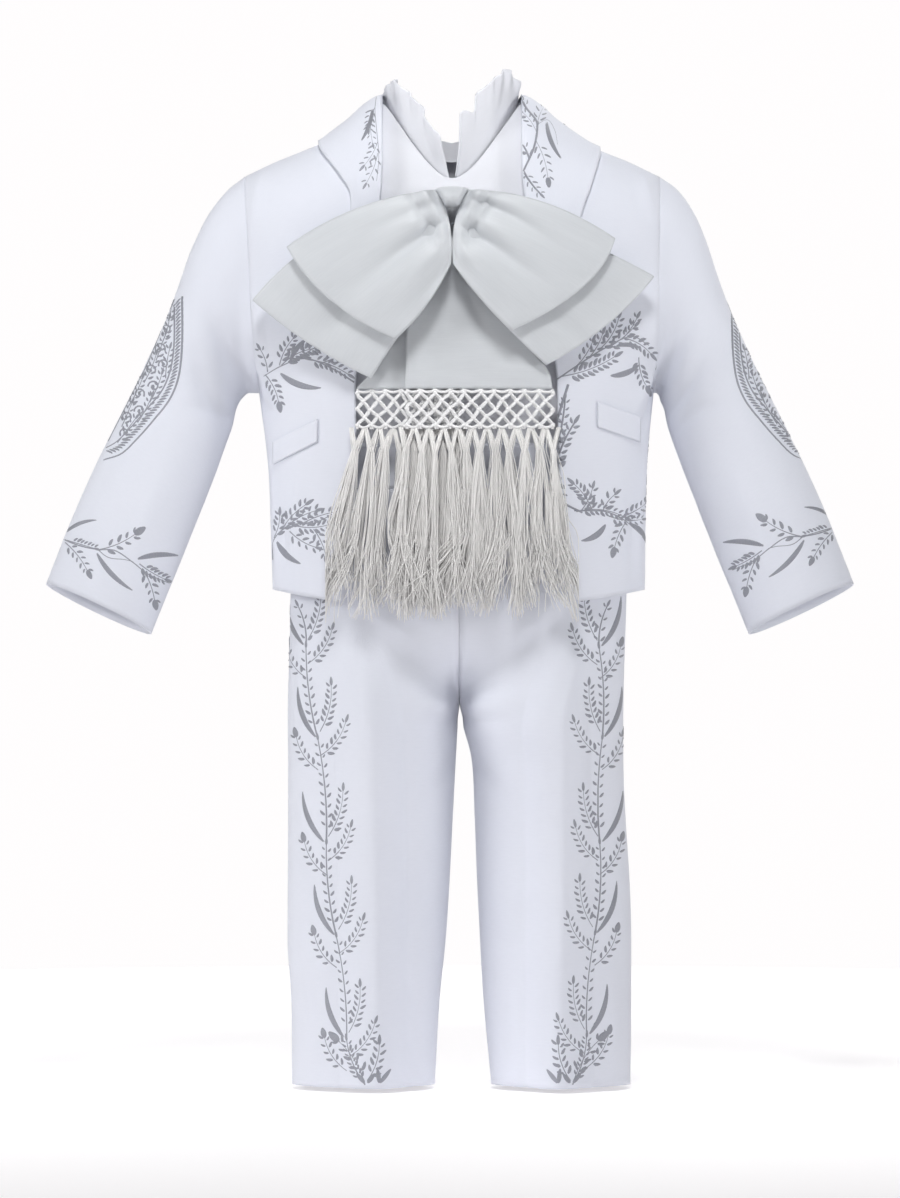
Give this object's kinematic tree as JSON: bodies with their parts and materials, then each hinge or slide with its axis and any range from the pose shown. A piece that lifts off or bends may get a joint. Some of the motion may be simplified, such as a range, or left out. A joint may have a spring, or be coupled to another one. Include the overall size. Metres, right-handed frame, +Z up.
{
  "type": "toddler charro suit, worn form held by its wearer",
  "caption": "White toddler charro suit in its worn form: short open jacket, shirt, large bow tie with netted fringe tails, and trousers.",
  "frame": {"origin": "middle of the neck opening, level with the shoulders beside the collar, where the wearer holds the suit up", "axes": "+Z up along the wearer, -Y the way the wearer faces, +X to the wearer's left"},
  "size_m": [0.5312, 0.1769, 0.6669],
  "materials": {
    "suiting": "fine matte white suiting weave with silver-grey embroidery",
    "shirting": "thin plain-weave white cotton",
    "satin": "pale silver-grey satin with a soft sheen",
    "fringe_cord": "knotted silky cord",
    "fringe_thread": "loose glossy ivory rayon strands"
  },
  "bodies": {
    "root": {"jacket_back": "suiting", "jacket_front_right": "suiting", "jacket_front_left": "suiting", "jacket_sleeve_right": "suiting", "jacket_sleeve_left": "suiting", "jacket_collar_right": "suiting", "jacket_collar_left": "suiting", "jacket_welt_right": "suiting", "jacket_welt_left": "suiting", "shirt_front": "shirting", "shirt_back": "shirting", "shirt_collar": "shirting", "bow_upper_right": "satin", "bow_upper_left": "satin", "bow_lower_right": "satin", "bow_lower_left": "satin", "bow_knot": "satin", "tie_tail_front": "satin", "tie_tail_rear": "satin", "tie_net_front": "fringe_cord", "tie_net_rear": "fringe_cord", "tie_fringe_front": "fringe_thread", "tie_fringe_rear": "fringe_thread", "trouser_front_right": "suiting", "trouser_front_left": "suiting", "trouser_back_right": "suiting", "trouser_back_left": "suiting", "waistband": "suiting"}
  },
  "joints": []
}
